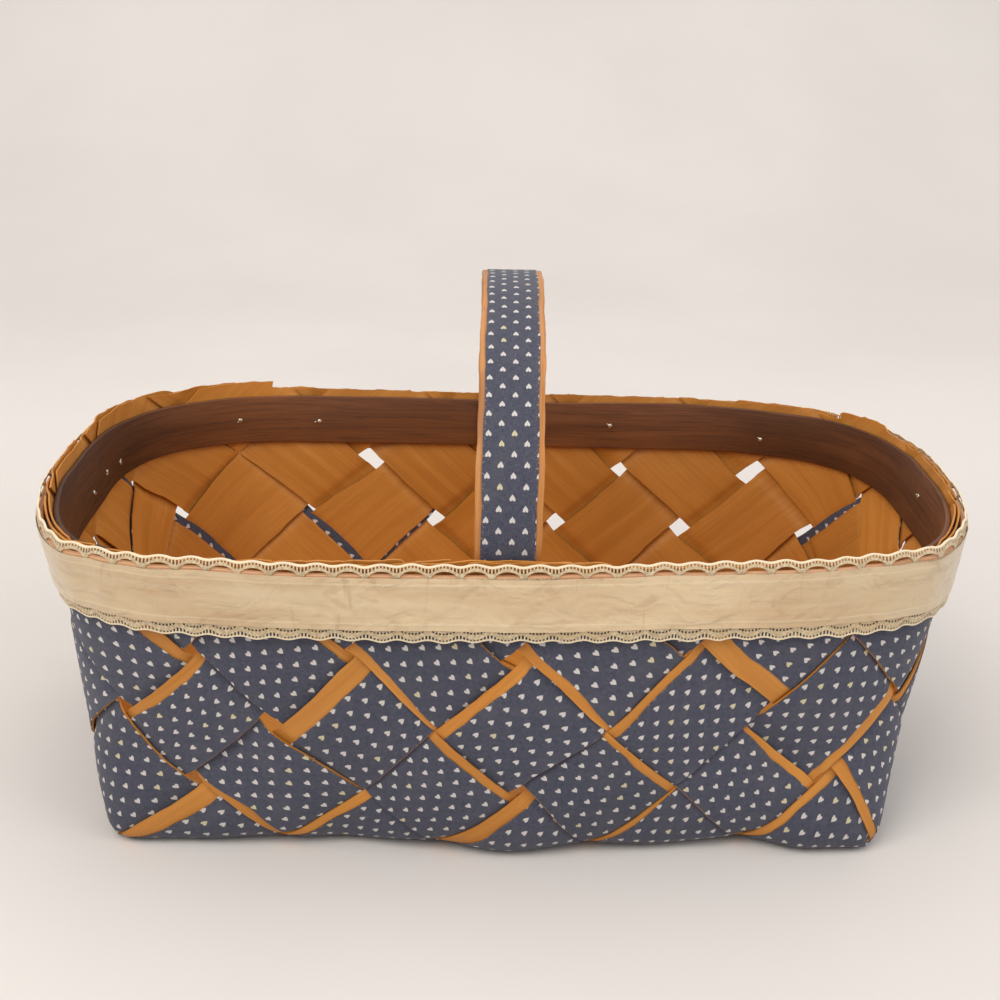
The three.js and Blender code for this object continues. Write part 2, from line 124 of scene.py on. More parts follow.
# A point of the plait's middle surface, u cells round the wall from the front left corner and v cells up it
def wallPoint(u, v):
    u, v = np.broadcast_arrays(np.asarray(u, float), np.asarray(v, float))
    around = np.mod(u, cellsRound)
    wall = np.searchsorted(wallStart, around, side="right") - 1
    cells, up = around - wallStart[wall], v / cellsHigh
    mix = lambda low, high: low + (high - low) * up
    length = mix(wallCells[wall] * cellSize, wallRim[wall])
    depth = mix(wallAcross[wall] * cellSize, wallRimAcross[wall]) / 2
    radius = mix(basket["baseCornerRadius"], basket["rimCornerRadius"])
    reach = np.minimum(basket["reachPerRadius"] * radius, np.minimum(length, 2 * depth) / 2)
    full = cornerShare(wallCells[wall])
    room = (length - wallCells[wall] * cellSize) / 2 / full
    sharp = cellSize * cells + room * (cornerShare(cells) - cornerShare(wallCells[wall] - cells) + full)
    height = v * rowHeight
    before, after = bend(sharp, reach), bend(length - sharp, reach)
    foldBefore, foldAfter = foldIn(np.maximum(sharp, height)), foldIn(np.maximum(length - sharp, height))
    along = sharp - length / 2 + before + foldBefore - after - foldAfter
    bow = wallBow[wall] * np.sin(np.pi * cells / wallCells[wall]) ** 2 * (1 - up ** 2) ** 2
    out = depth + bow - before - after - foldIn(height)
    flat = wallAlong[wall] * along[..., None] + wallOut[wall] * out[..., None]
    lifted = basket["stackHalf"] + wallRise * up + foldUp(height)
    return warpRim(np.concatenate([flat, lifted[..., None]], -1))


# The rim isn't quite oval or level: in millimetres, how far its front stands back and its back sits low at
# places along x, and how far its front left end stands out. Each fades between two places, in metres.
warped = {
    "frontBack": {
        -195: -10, -180: -9, -165: -3.5, -150: -1.2, -123: 3.2, -80: 2, -55: 1.5, 0: 1.5, 38: 3.5, 67: 6,
        95: 8, 139: 8, 157: 5, 174: 0,
    },
    "backLow": {-190: 0.5, -144: 1.2, -61: 2.2, 78: 3.6, 138: 3.8, 190: 2},
    "leftOut": 2.8,
    "frontFade": (0.02, 0.09), "backFade": (0, 0.09), "leftFade": (0.11, 0.19), "middleFade": (-0.03, 0.03),
}


def warpRim(points):
    x, y, z = np.moveaxis(points, -1, 0)
    up = z / basket["wallHeight"]
    fade = lambda key, place: smooth(*warped[key], place)
    inward = ease(x * 1000, warped["frontBack"]) * fade("frontFade", -y) * up ** 3
    low = ease(x * 1000, warped["backLow"]) * fade("backFade", y) * up
    leftward = warped["leftOut"] * fade("leftFade", -x) * fade("middleFade", -y) * up
    return points + np.stack([-leftward, inward, -low], -1) / 1000


# A point of the middle surface on the base, x and y in cells
def basePoint(x, y):
    insets = [np.maximum(0, (half - np.abs(p)) * cellSize) for p, half in ((x, halfLong), (y, halfWide))]
    corner = bend(insets[0] + insets[1], basket["reachPerRadius"] * basket["baseCornerRadius"])
    flat = [p * cellSize - np.sign(p) * (corner + foldIn(inset)) for p, inset in zip((x, y), insets)]
    bow = wallBow[front] * np.cos(np.pi * x / basket["cellsLong"]) ** 2 * y / halfWide
    return np.stack([flat[0], flat[1] + bow, basket["stackHalf"] + foldUp(np.minimum(*insets))], -1)


# How the basket has settled: each fold between two splints is drawn in and lifted at the base edge, the front
# edge stands forward by so much at so many cells along it, and its corners have moved sideways
settled = {
    "foldIn": 0.003, "foldLift": 0.0016, "foldReach": 0.014,
    "forward": {
        -1: 0.0085, 0: 0.0085, 0.5: 0.0063, 1: 0.0057, 1.5: -0.005, 2: 0.0002, 2.5: 0.0014, 3: 0.0015,
        3.5: 0.0002, 4: 0.0047, 4.5: 0.0130, 5: 0.0135, 6: 0.0135,
    },
    "fadeUp": 0.055, "fadeIn": 0.070,
    "sideways": {-0.165: -0.0072, -0.105: 0, 0.105: 0, 0.165: -0.003}, "sidewaysUp": 0.13,
    # Crossings of the plait that have moved: u, v, by how many cells along each, and within which reach. The
    # moves grow from nothing at the base edge, and those along v fade again towards the rim.
    "moved": [
        (0, 1, 0.16, 0, 0.7), (0.5, 1.5, 0.04, -0.03, 0.45), (1, 1, -0.03, -0.04, 0.45),
        (2, 1, 0, -0.05, 0.45), (1.5, 0.5, 0.065, -0.03, 0.45), (2.5, 1.5, -0.017, -0.03, 0.45),
        (3, 1, 0.075, -0.055, 0.45), (2.5, 0.5, 0.035, 0.02, 0.45), (3.5, 1.5, 0.075, 0.02, 0.45),
        (4, 1, 0.02, 0.02, 0.35), (3.5, 0.5, 0.05, 0.01, 0.45), (4.5, 1.5, 0.02, 0.09, 0.45),
        (4.5, 0.5, 0, 0.06, 0.45), (5, 1, -0.03, 0.045, 0.45),
    ],
    "movedGrow": (0, 0.35), "movedFade": (1.6, cellsHigh),
    # How far the plait has crept up the middle of the wall, in cells, by the place round it
    "crept": {
        0: 0, 7: 0, 8: 0.05, 9: 0, 10.3: 0, 11: 0.02, 11.5: 0.07, 12: 0.10, 12.5: 0.13, 13: 0.135,
        13.5: 0.07, 14.2: 0.03, 15: 0, 16: 0,
    },
}


# Each crossing's own move, spread round it by e^(-(distance / reach)^2)
def movedBy(u, v):
    moreU, moreV = 0 * u, 0 * u
    for atU, atV, alongU, alongV, reach in settled["moved"]:
        aside = (u - atU + cellsRound / 2) % cellsRound - cellsRound / 2
        share = np.exp(-(aside ** 2 + (v - atV) ** 2) / reach ** 2)
        moreU, moreV = moreU + alongU * share, moreV + alongV * share
    grows = smooth(*settled["movedGrow"], v)
    return moreU * grows, moreV * grows * (1 - smooth(*settled["movedFade"], v))


def settle(points):
    x, y, z = np.moveaxis(points, -1, 0)
    fade = (1 - smooth(0, settled["fadeUp"], z)) * (1 - smooth(0, settled["fadeIn"], y + halfWide * cellSize))
    forward = fade * ease(x / cellSize + halfLong, settled["forward"])
    fade = smooth(*warped["middleFade"], -y) * (1 - smooth(0, settled["sidewaysUp"], z))
    sideways = fade * ease(x, settled["sideways"])
    return points + np.stack([sideways, -forward, 0 * z], -1)


# The base and one wall laid flat in one plane, in cells: past the base edge it is the wall
def sheetPoint(side, x, y):
    fromX, fromY = x - wallCorner[side][0], y - wallCorner[side][1]
    v = fromX * wallOut[side][0] + fromY * wallOut[side][1]
    cells = fromX * wallAlong[side][0] + fromY * wallAlong[side][1]
    u = wallStart[side] + cells
    lift = ease(np.mod(u, cellsRound), settled["crept"])
    lift = lift * np.sin(np.pi * np.clip(v / cellsHigh, 0, 1))
    moreU, moreV = movedBy(u, v)
    onWall = wallPoint(u + moreU, np.maximum(v, 0) + lift + moreV)
    flat = np.where((v > 0)[..., None], onWall, basePoint(x, y))
    edge = np.where(v > 0, v * rowHeight, -v * cellSize)
    offCorner = (cells > 0.5) & (cells < wallCells[side] - 0.5)
    fold = offCorner * (0.5 + 0.5 * np.cos(2 * np.pi * cells)) * np.exp(-((edge / settled["foldReach"]) ** 2))
    inward = np.array([*(-settled["foldIn"] * wallOut[side]), settled["foldLift"]])
    return settle(flat + fold[..., None] * inward)


probe = 0.004  # half the step, in cells, between two places whose difference gives a direction


def normalOf(find, u, v):
    return unit(np.cross(find(u + probe, v) - find(u - probe, v), find(u, v + probe) - find(u, v - probe)))


def sheetNormal(side, x, y):
    return -normalOf(lambda u, v: sheetPoint(side, u, v), x, y)


# The quads between neighbours in a grid of point numbers
def netFaces(index):
    return np.stack([index[:-1, :-1], index[:-1, 1:], index[1:, 1:], index[1:, :-1]], -1)


# A closed shell from two grids of points, outer and inner: both faces of every solid cell, and a wall where
# it borders on an open one or on the edge of the grid
def shellFaces(solid):
    rows, columns = solid.shape
    index = np.arange((rows + 1) * (columns + 1)).reshape(rows + 1, columns + 1)
    corners = netFaces(index)
    faces = [corners[solid], corners[solid][:, ::-1] + index.size]
    padded = np.pad(solid, 1)
    for k, (down, across) in enumerate(((-1, 0), (0, 1), (1, 0), (0, -1))):
        beside = padded[1 + down:rows + 1 + down, 1 + across:columns + 1 + across]
        border = corners[solid & ~beside]
        first, second = border[:, k], border[:, (k + 1) % 4]
        faces.append(np.stack([second, first, first + index.size, second + index.size], -1))
    return np.concatenate(faces)


def gridFaces(rows, columns):
    return shellFaces(np.ones((rows - 1, columns - 1), bool))


# A tube through rings of points, one ring a row, and the two faces that close its ends
def tubeFaces(rows, count, first=0):
    index = first + np.arange(rows * count).reshape(rows, count)
    index = np.concatenate([index, index[:, :1]], 1)
    return netFaces(index).reshape(-1, 4), np.stack([index[0, -2::-1], index[-1, :-1]])


def addObject(name, data):
    made = bpy.data.objects.new(name, data)
    bpy.context.scene.collection.objects.link(made)
    return made


# A map or attribute given for the outer grid of a shell, or as one value, is repeated for the other points
def addMesh(name, node, points, faces, material, uv=None, attributes=None, sharpAngle=0.7):
    mesh = bpy.data.meshes.new(name)
    points = np.asarray(points, np.float32).reshape(-1, 3)
    groups = [np.asarray(group, np.int32) for group in (faces if isinstance(faces, list) else [faces])]
    corners = np.concatenate([group.ravel() for group in groups])
    sides = np.concatenate([np.full(len(group), group.shape[1]) for group in groups])
    mesh.vertices.add(len(points))
    mesh.vertices.foreach_set("co", points.ravel())
    mesh.loops.add(len(corners))
    mesh.loops.foreach_set("vertex_index", corners)
    mesh.polygons.add(len(sides))
    mesh.polygons.foreach_set("loop_start", np.cumsum(sides) - sides)
    mesh.update(calc_edges=True)
    if uv is not None:
        places = np.resize(uv, (len(points), 2)).astype(np.float32)
        mesh.uv_layers.new(name="patternMap").data.foreach_set("uv", places[corners].ravel())
    for key, values in (attributes or {}).items():
        layer = mesh.attributes.new(key, "FLOAT", "POINT")
        layer.data.foreach_set("value", np.resize(values, len(points)).astype(np.float32))
    mesh.polygons.foreach_set("use_smooth", np.ones(len(sides), bool))
    mesh.set_sharp_from_angle(angle=sharpAngle)
    mesh.materials.append(material)
    mesh.validate()
    piece = addObject(name, mesh)
    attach(piece, "root")
    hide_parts(node)
    return piece


def tint(red, green, blue):
    levels = np.array([red, green, blue]) / 255
    linear = np.where(levels <= 0.04045, levels / 12.92, ((levels + 0.055) / 1.055) ** 2.4)
    return (*linear, 1)


# Inputs are a list in order, or a dictionary by name or number
def feed(tree, node, inputs):
    for key, value in inputs.items() if isinstance(inputs, dict) else enumerate(inputs):
        if isinstance(value, bpy.types.NodeSocket):
            tree.links.new(value, node.inputs[key])
        else:
            node.inputs[key].default_value = value


def addNode(tree, kind, inputs=(), output=0, **settings):
    made = tree.nodes.new("ShaderNode" + kind)
    for key, value in settings.items():
        setattr(made, key, value)
    feed(tree, made, inputs)
    return made.outputs[output]


class Recipe:
    # A material under construction: short ways to add the nodes that the finishes here share
    def __init__(self, name):
        self.material = bpy.data.materials.new(name)
        self.material.use_nodes = True
        self.tree = self.material.node_tree

    def node(self, kind, inputs=(), output=0, **settings):
        return addNode(self.tree, kind, inputs, output, **settings)

    def math(self, operation, *values):
        return self.node("Math", values, operation=operation)

    def ramp(self, value, low, high, start=0, end=1):
        return self.node("MapRange", (value, low, high, start, end), interpolation_type="SMOOTHSTEP")

    def mix(self, share, a, b):
        return self.node("Mix", {0: share, 6: a, 7: b}, 2, data_type="RGBA")

    # A colour with another over it, more and more as a noise goes from low to high
    def cover(self, base, over, noise, low, high, most=1):
        return self.mix(self.ramp(noise, low, high, 0, most), base, over)

    def attribute(self, name):
        return self.node("Attribute", output="Fac", attribute_name=name)

    # A colour made darker or lighter by a point attribute: each part's own tone, and on the inner hoop and
    # the ribbon painted light and shade
    def withToneAndShade(self, colour):
        return self.node("HueSaturation", {"Color": colour, "Value": self.attribute("toneAndShade")})

    def place(self):
        return self.node("TexCoord", output="Object")

    def pattern(self):
        return self.node("UVMap", uv_map="patternMap")

    # The distance along the pattern for 0, and across it for 1
    def axis(self, number):
        return self.node("SeparateXYZ", [self.pattern()], number)

    def noise(self, vector, scale, detail=3, roughness=0.5, distortion=0):
        inputs = {"Vector": vector, "Scale": scale, "Detail": detail, "Roughness": roughness}
        return self.node("TexNoise", {**inputs, "Distortion": distortion})

    # Noise on the pattern, so many times a metre along and across it
    def grain(self, along, across, *values):
        scaled = self.node("Mapping", {"Vector": self.pattern(), "Scale": (along, across, 1)})
        return self.noise(scaled, 1, *values)

    def bump(self, height, distance):
        return self.node("Bump", {"Height": height, "Distance": distance})

    def shade(self, inputs):
        feed(self.tree, self.tree.nodes["Principled BSDF"], inputs)
        return self.material


# Each wood's light, middle and dark tint, its roughness, how many bands, fibres and pores it has across a
# metre, and its contrast
woods = {
    "veneerLook": ((198, 132, 56), (186, 120, 46), (140, 82, 27), 0.5, 110, 700, 1400, 0.35),
    "outerHoopLook": ((216, 168, 126), (202, 148, 106), (156, 104, 70), 0.5, 120, 800, 1200, 0.6),
    "handleLook": ((196, 134, 74), (178, 114, 56), (118, 66, 30), 0.42, 120, 800, 1300, 1),
    "innerHoopLook": ((124, 75, 40), (96, 55, 27), (44, 24, 12), 0.5, 60, 600, 900, 0.8),
}


# Wood with its grain along the pattern's first axis: broad bands, fine fibres and short dark pores
def woodFinish(name, light, middle, dark, roughness, bands, fibres, pores, contrast):
    recipe = Recipe(name)
    light, middle, dark = tint(*light), tint(*middle), tint(*dark)
    broad, fine = recipe.grain(6, bands, 4, 0.55, 0.6), recipe.grain(25, fibres, 3, 0.6)
    patch, pore = recipe.grain(16, 22), recipe.grain(60, pores, 1)
    base = recipe.cover(light, middle, broad, 0.35, 0.68)
    base = recipe.cover(base, dark, fine, 0.42, 0.72, 0.5 * contrast)
    base = recipe.cover(base, dark, patch, 0.5, 0.75, 0.45 * contrast)
    base = recipe.cover(base, dark, pore, 0.68, 0.76, 0.55 * contrast)
    relief = recipe.math("ADD", fine, recipe.math("MULTIPLY", pore, -0.6))
    return recipe.shade({
        "Base Color": recipe.withToneAndShade(base),
        "Roughness": recipe.ramp(fine, 0.3, 0.8, roughness - 0.06, roughness + 0.14),
        "Specular IOR Level": 0.35,
        "Normal": recipe.bump(relief, 0.00012),
    })


veneerLook, outerHoopLook, handleLook, innerHoopLook = [woodFinish(name, *woods[name]) for name in woods]

hearts = {
    "columnStep": 0.0052, "alongStep": 0.0086,  # between the columns of hearts, and between the hearts of one
    "halfWidth": 0.00114, "halfHeight": 0.00108,
}


# Printed calico: x^2 + (y - sqrt|x|)^2 < 1 is a heart, repeated in columns staggered by half a step
def calicoFinish():
    recipe = Recipe("calicoLook")
    math, grain = recipe.math, recipe.grain
    across = math("ADD", recipe.axis(1), math("MULTIPLY_ADD", grain(60, 60, 1), 0.0012, -0.0006))
    column = math("ROUND", math("DIVIDE", across, hearts["columnStep"]))
    stagger = math("MULTIPLY", math("FLOORED_MODULO", column, 2), hearts["alongStep"] / 2)
    shifted = math("ADD", recipe.axis(0), stagger)
    row = math("ROUND", math("DIVIDE", shifted, hearts["alongStep"]))
    x = math("SUBTRACT", across, math("MULTIPLY", column, hearts["columnStep"]))
    x = math("DIVIDE", x, hearts["halfWidth"])
    y = math("SUBTRACT", math("MULTIPLY", row, hearts["alongStep"]), shifted)
    y = math("ADD", math("DIVIDE", y, hearts["halfHeight"]), 0.25)
    lobes = math("SUBTRACT", y, math("SQRT", math("ABSOLUTE", x)))
    shape = math("ADD", math("MULTIPLY", x, x), math("MULTIPLY", lobes, lobes))
    shape = math("ADD", shape, math("MULTIPLY_ADD", grain(1500, 1500, 2), 0.7, -0.35))
    pair = recipe.node("CombineXYZ", [column, row])
    odd = recipe.node("TexWhiteNoise", {"Vector": pair}, noise_dimensions="2D")
    ink = recipe.cover(tint(202, 196, 190), tint(198, 188, 154), odd, 0.90, 0.93)
    weave = math("ADD", grain(350, 4200, 1), grain(4200, 350, 1))
    cloth = recipe.cover(tint(58, 60, 74), tint(84, 85, 98), weave, 0.7, 1.3)
    cloth = recipe.cover(cloth, tint(90, 88, 94), grain(45, 60, 4, 0.6), 0.45, 0.75, 0.45)
    printed = recipe.mix(recipe.ramp(shape, 0.75, 1.25, 1, 0), cloth, ink)
    frayed = recipe.ramp(grain(900, 900, 2), 0.56, 0.66, 0, 0.6)
    printed = recipe.mix(math("MULTIPLY", recipe.attribute("fray"), frayed), printed, tint(168, 152, 134))
    return recipe.shade({
        "Base Color": recipe.withToneAndShade(printed), "Roughness": 0.85, "Specular IOR Level": 0.2,
        "Sheen Weight": 0.15, "Normal": recipe.bump(weave, 0.00008),
    })


calicoLook = calicoFinish()
ribbonLines = [0.0038, 0.0219]  # the inner ends of the ribbon's borders, over the foot of the hoops


def ribbonFinish():
    recipe = Recipe("ribbonLook")
    stain, streak = recipe.grain(12, 40, 5, 0.6, 0.4), recipe.grain(7, 260)
    crease, relief = recipe.grain(110, 16, 3, 0.6, 0.5), recipe.grain(55, 80, 2, 0.5, 1.5)
    spot, smudge = recipe.grain(70, 110, 4, 0.6, 0.8), recipe.grain(34, 60, 5, 0.65, 1.2)
    base = recipe.cover(tint(218, 193, 154), tint(200, 167, 126), stain, 0.4, 0.75)
    base = recipe.cover(base, tint(226, 204, 168), streak, 0.45, 0.75, 0.35)
    base = recipe.cover(base, tint(176, 138, 98), spot, 0.54, 0.72, 0.34)
    base = recipe.cover(base, tint(158, 116, 76), smudge, 0.56, 0.70, 0.2)
    base = recipe.cover(base, tint(164, 126, 88), crease, 0.60, 0.70, 0.32)
    for height in ribbonLines:
        aside = recipe.math("ABSOLUTE", recipe.math("SUBTRACT", recipe.axis(1), height))
        base = recipe.mix(recipe.ramp(aside, 0.0001, 0.0006, 0.45, 0), base, tint(232, 212, 176))
    fine = recipe.math("ADD", crease, recipe.math("MULTIPLY", streak, 0.3))
    relief = recipe.math("ADD", recipe.math("MULTIPLY", relief, 4), fine)
    return recipe.shade({
        "Base Color": recipe.withToneAndShade(base), "Roughness": recipe.ramp(stain, 0.3, 0.8, 0.30, 0.48),
        "Sheen Weight": 0.3, "Normal": recipe.bump(relief, 0.0004),
    })


def laceFinish():
    recipe = Recipe("laceLook")
    thread, age = recipe.noise(recipe.place(), 900, 3, 0.6), recipe.noise(recipe.place(), 25)
    base = recipe.cover(tint(180, 158, 124), tint(218, 198, 162), thread, 0.35, 0.7)
    base = recipe.cover(base, tint(194, 164, 118), age, 0.45, 0.75, 0.4)
    base = recipe.mix(recipe.attribute("cord"), base, tint(234, 216, 182))
    return recipe.shade({
        "Base Color": base, "Roughness": 0.8, "Sheen Weight": 0.2, "Normal": recipe.bump(thread, 0.0002),
    })


def nailFinish():
    recipe = Recipe("nailLook")
    worn = recipe.noise(recipe.place(), 1800, 3, 0.6)
    return recipe.shade({
        "Base Color": recipe.cover(tint(206, 200, 188), tint(150, 138, 120), worn, 0.35, 0.7),
        "Metallic": 1, "Roughness": recipe.ramp(worn, 0.3, 0.8, 0.25, 0.5),
    })


ribbonLook, laceLook, nailLook = ribbonFinish(), laceFinish(), nailFinish()
print("finishes mixed")

# Splints and tapes. A shift says how far a tape lies off the middle of its splint, in millimetres towards
# larger u, low and high on the wall where the splint starts, and then where it ends.
splints = {
    "veneer": {"columns": 24, "foot": 0.00025, "thickness": 0.0008, "seedStep": 30,
               "look": veneerLook, "slot": "veneer", "node": "splint_"},
    "cloth": {"columns": 12, "foot": 0.00117, "thickness": 0.00033, "seedStep": 500,
              "look": calicoLook, "slot": "calico", "node": "calico_"},
    "rowsPerStep": 20, "crowding": 0.6, "endRows": 34,  # the rows crowd where the splint steps up or down
    "stepPace": 7, "archHeight": 0.0007, "archGrow": (0.1, 0.5), "archFade": (1.45, 1.7),
    "edgeWobble": 0.00035, "tapeWobble": 0.00045, "wobbleLength": 0.05,
    "inset": 0.0003, "frayShare": 0.03,  # of a tape, from the edges of its splint and from its own
    "tapeTop": -2.0, "leastStand": 0.3,  # over the top of the hoops
    # How far the splints stand up over the hoops, in millimetres, by the place round the rim
    "stand": {
        0: 1.5, 0.6: 1.5, 0.9: 2.4, 1.45: 2.6, 1.8: 3.5, 2.1: 4.6, 2.6: 4.4, 2.95: 3.0, 3.2: 1.2,
        5.3: 1.2, 5.6: 3.2, 6.5: 4.0, 7.4: 3.0, 7.55: 6.0, 7.85: 6.5, 7.92: 2.2, 8.0: 2.2, 8.05: 3.2,
        8.6: 3.2, 8.64: 2.2, 8.9: 2.2, 8.94: 3.2, 12.3: 3.6, 12.34: 7.2, 12.7: 7.2, 12.95: 5.6, 13.1: 8.0,
        13.6: 8.0, 14: 5.5, 15: 4.0, 15.6: 2.0, 16: 1.5,
    },
    "plainHalf": 0.23, "standSpread": 0.5, "raggedness": 0.3, "slant": 0.4,
    # Gaps between neighbouring splints in millimetres, by cells up the wall, where basket doesn't say them. A
    # line is named after the u where it leaves the base, and runs up towards larger or smaller u.
    "gaps": {
        "larger": {
            15: {1: 6.8}, 0: {0.5: 7.4, 1: 8.7, 1.5: 5.5}, 1: {0.5: 0.6, 1: 0.6, 1.5: 5.5},
            2: {0.5: 4, 1: 0.6, 1.5: 0.6}, 3: {0.5: 0.6, 1: 0.6, 1.5: 0.6}, 4: {0.5: 1.5},
            7: {1: 12.5, 1.5: 14}, 8: {1: 8, 1.5: 6.3}, 9: {1: 8}, 10: {1: 7.9, 1.5: 6.9},
            11: {0.5: 6.5, 1: 6, 1.5: 0.6}, 12: {1: 7.5},
        },
        "smaller": {
            1: {0.5: 3.5, 1: 4.7}, 2: {0.5: 0.6, 1: 5.4}, 3: {0.5: 6.6, 1: 0.6, 1.5: 1.5},
            4: {0.5: 0.6, 1: 0.6, 1.5: 8.7}, 5: {0.5: 9, 1: 14, 1.5: 9}, 6: {1.5: 0.6}, 9: {1: 7.9},
            10: {1: 8, 1.5: 6.6}, 11: {1: 8, 1.5: 6.3}, 12: {1: 7.9}, 13: {1.5: 12}, 14: {1: 7.5, 1.5: 0.6},
        },
    },
    # Where a tape reaches further past its splint, at the start and at the end of the splint, in millimetres
    "overhangs": {
        "falling_05": (5.7, 0), "falling_04": (4.5, 0), "rising_01": (0, 2), "rising_05": (0, 5.7),
    },
    "shifts": {
        "falling_01": [(0, 0), (8, 8)], "falling_02": [(1, -1), (4.4, 4.4)], "falling_03": [(1, 2), (7, 3)],
        "falling_04": [(-4.5, -4.5), (2, -5.4)], "falling_05": [(-4.5, -4.5), (3.3, 3.3)],
        "falling_06": [(-2, 1), (4, 9.5)], "rising_01": [(0, 1), (-5, -5)], "rising_03": [(1, 4.5), (1, -2)],
        "rising_05": [(3.6, -7), (5, 5)], "rising_06": [(-3.3, -3.7), (2, 1)],
        "rising_07": [(-3.3, 3.3), (-1, 2)], "rising_08": [(-3.3, 4), (1, -7)],
    },
    "flipped": ["falling_05"],  # tapes whose print runs the other way
    "tones": {"falling_02": 1.15, "rising_08": 1.12, "rising_05": 0.93},
}
wallPitch = cellSize * rowHeight / np.hypot(cellSize, rowHeight)
widening = basket["rimGap"] - basket["baseGap"]
usualGaps = {v: basket["baseGap"] + widening * v / cellsHigh for v in (0, 0.5, 1, 1.5, cellsHigh)}


# The gap along a line between two splints, in metres, v cells up the wall
def gapAlong(way, line, v):
    given = splints["gaps"][way].get(line % cellsRound, {})
    return ease(v, {**usualGaps, **{mark: gap / 1000 for mark, gap in given.items()}})


# A splint runs along s, in half cells from one base edge, and t is its place across, -1 to 1.
# Its level is 0 where it passes over and -levelShift where it passes under: tanh(7 cos(pi s)) / tanh(7)
# eases from one to the other in the gaps between the splints that it crosses, and cos(pi s) bows it out.
class Course:
    def __init__(self, rising, number):
        self.slope = 1 if rising else -1
        self.middle = number + 0.5
        self.firstX = max(-halfLong, self.middle - halfWide)
        lastX = min(halfLong, self.middle + halfWide)
        low, high = (front, back) if rising else (back, front)
        self.sides = [left if self.firstX == -halfLong else low, right if lastX == halfLong else high]
        self.baseSteps = round(2 * (lastX - self.firstX))
        self.overSign = 1 if rising == (self.sides[0] == left) else -1
        self.lateral = np.array([1, -self.slope])
        self.lateralOut = [int(self.lateral @ wallOut[side]) for side in self.sides]
        self.lateralRound = [int(self.lateral @ wallAlong[side]) for side in self.sides]
        self.ways, self.feet = [], []
        for side, x, outward in zip(self.sides, (self.firstX, lastX), (-1, 1)):
            foot = np.array([x, self.slope * (x - self.middle)]) - wallCorner[side]
            self.feet.append(wallStart[side] + foot @ wallAlong[side])
            onward = outward * np.array([1, self.slope]) @ wallAlong[side]
            self.ways.append("larger" if onward > 0 else "smaller")

    # How many cells up its wall each place is, or 0 and less on the base
    def climb(self, s, offset):
        atStart = -s / 2 + offset * self.lateralOut[0]
        atEnd = (s - self.baseSteps) / 2 + offset * self.lateralOut[1]
        return np.where(s < self.baseSteps / 2, atStart, atEnd)

    # Both edges of the splint as offsets, each with the width of the gap beside it
    def edges(self, s):
        found = []
        for sign in (-1, 1):
            v = self.climb(s, sign / 4)
            gaps = [gapAlong(way, round(foot + sign * round_ / 2), v)
                    for way, foot, round_ in zip(self.ways, self.feet, self.lateralRound)]
            gap = np.where(s < self.baseSteps / 2, *gaps)
            found.append((sign * (0.5 - gap / 2 / np.where(v > 0, wallPitch, cellDiagonal / 2)) / 2, gap))
        return found

    # The u at which the middle of each end meets the rim
    def rimU(self):
        return [(foot + (cellsHigh if way == "larger" else -cellsHigh)) % cellsRound
                for way, foot in zip(self.ways, self.feet)]

    # The rows of s between which a tape's shift is given: where it passes over, low and high on each wall
    def shiftMarks(self):
        low = [0 if way == "larger" else 1 for way in self.ways]
        return np.array([-low[0] - 2, -low[0], self.baseSteps + low[1], self.baseSteps + low[1] + 2])

    def level(self, s, v):
        wave, pace = np.cos(np.pi * s) * self.overSign, splints["stepPace"]
        arch = splints["archHeight"] * smooth(*splints["archGrow"], v) * (1 - smooth(*splints["archFade"], v))
        return -basket["levelShift"] / 2 * (1 - np.tanh(pace * wave) / np.tanh(pace)) + arch * wave

    # Points and normals from s and the distance off the centre line, in cells along each axis
    def surface(self, s, offset):
        x = self.firstX + s / 2
        y = self.slope * (x - self.middle)
        x, y = x + self.lateral[0] * offset, y + self.lateral[1] * offset
        first = (s < self.baseSteps / 2)[..., None]
        return [np.where(first, find(self.sides[0], x, y), find(self.sides[1], x, y))
                for find in (sheetPoint, sheetNormal)]

    # The rows of s from end to end, for each column: even steps, and both ends cut level above the rim. The
    # columns' offsets are given at the start and at the end.
    def rows(self, startOffset, endOffset, tops):
        perStep = splints["rowsPerStep"]
        bodySteps = np.arange(-3 * perStep, (self.baseSteps + 3) * perStep + 1) / perStep
        dense = bodySteps + splints["crowding"] * np.sin(2 * np.pi * bodySteps) / (2 * np.pi)
        body = np.repeat(dense[:, None], len(startOffset), 1)
        share = np.linspace(0, 1, splints["endRows"] + 1)[1:, None]
        startEnd = -2 * (tops[0] - startOffset * self.lateralOut[0])
        lastEnd = self.baseSteps + 2 * (tops[1] - endOffset * self.lateralOut[1])
        before = (body[0] + (startEnd - body[0]) * share)[::-1]
        after = body[-1] + (lastEnd - body[-1]) * share
        return np.concatenate([before, body, after])


# The offsets of the columns t at each row of s, for a splint, or for a tape with its shifts
def stripOffsets(course, label, s, t, seeds, shifts=None):
    (low, lowGap), (high, highGap) = course.edges(s)
    along = s * cellDiagonal / 2
    wobbles = [unevenness(along, splints["wobbleLength"], seed) for seed in seeds]
    low = low + np.minimum(splints["edgeWobble"], lowGap / 3) / cellDiagonal * wobbles[0]
    high = high + np.minimum(splints["edgeWobble"], highGap / 3) / cellDiagonal * wobbles[1]
    if shifts is not None:
        turns = np.array(course.lateralRound)[[0, 0, 1, 1]]
        shifts = np.array([shifts[0][1], shifts[0][0], shifts[1][0], shifts[1][1]]) * turns / 1000
        shift = np.interp(s, course.shiftMarks(), shifts)
        most = np.where(s < course.baseSteps / 2, *splints["overhangs"].get(label, (0, 0))) / 1000
        lowMost, highMost = [np.minimum(0.8 * gap, most) - splints["inset"] for gap in (lowGap, highGap)]
        cut = [splints["tapeWobble"] * (1 + wobble) for wobble in wobbles[2:]]
        low = low + (np.maximum(shift, -lowMost) + np.where(shift > 0, cut[0], 0)) / cellDiagonal
        high = high + (np.minimum(shift, highMost) - np.where(shift < 0, cut[1], 0)) / cellDiagonal
    return low + (high - low) * (t + 1) / 2


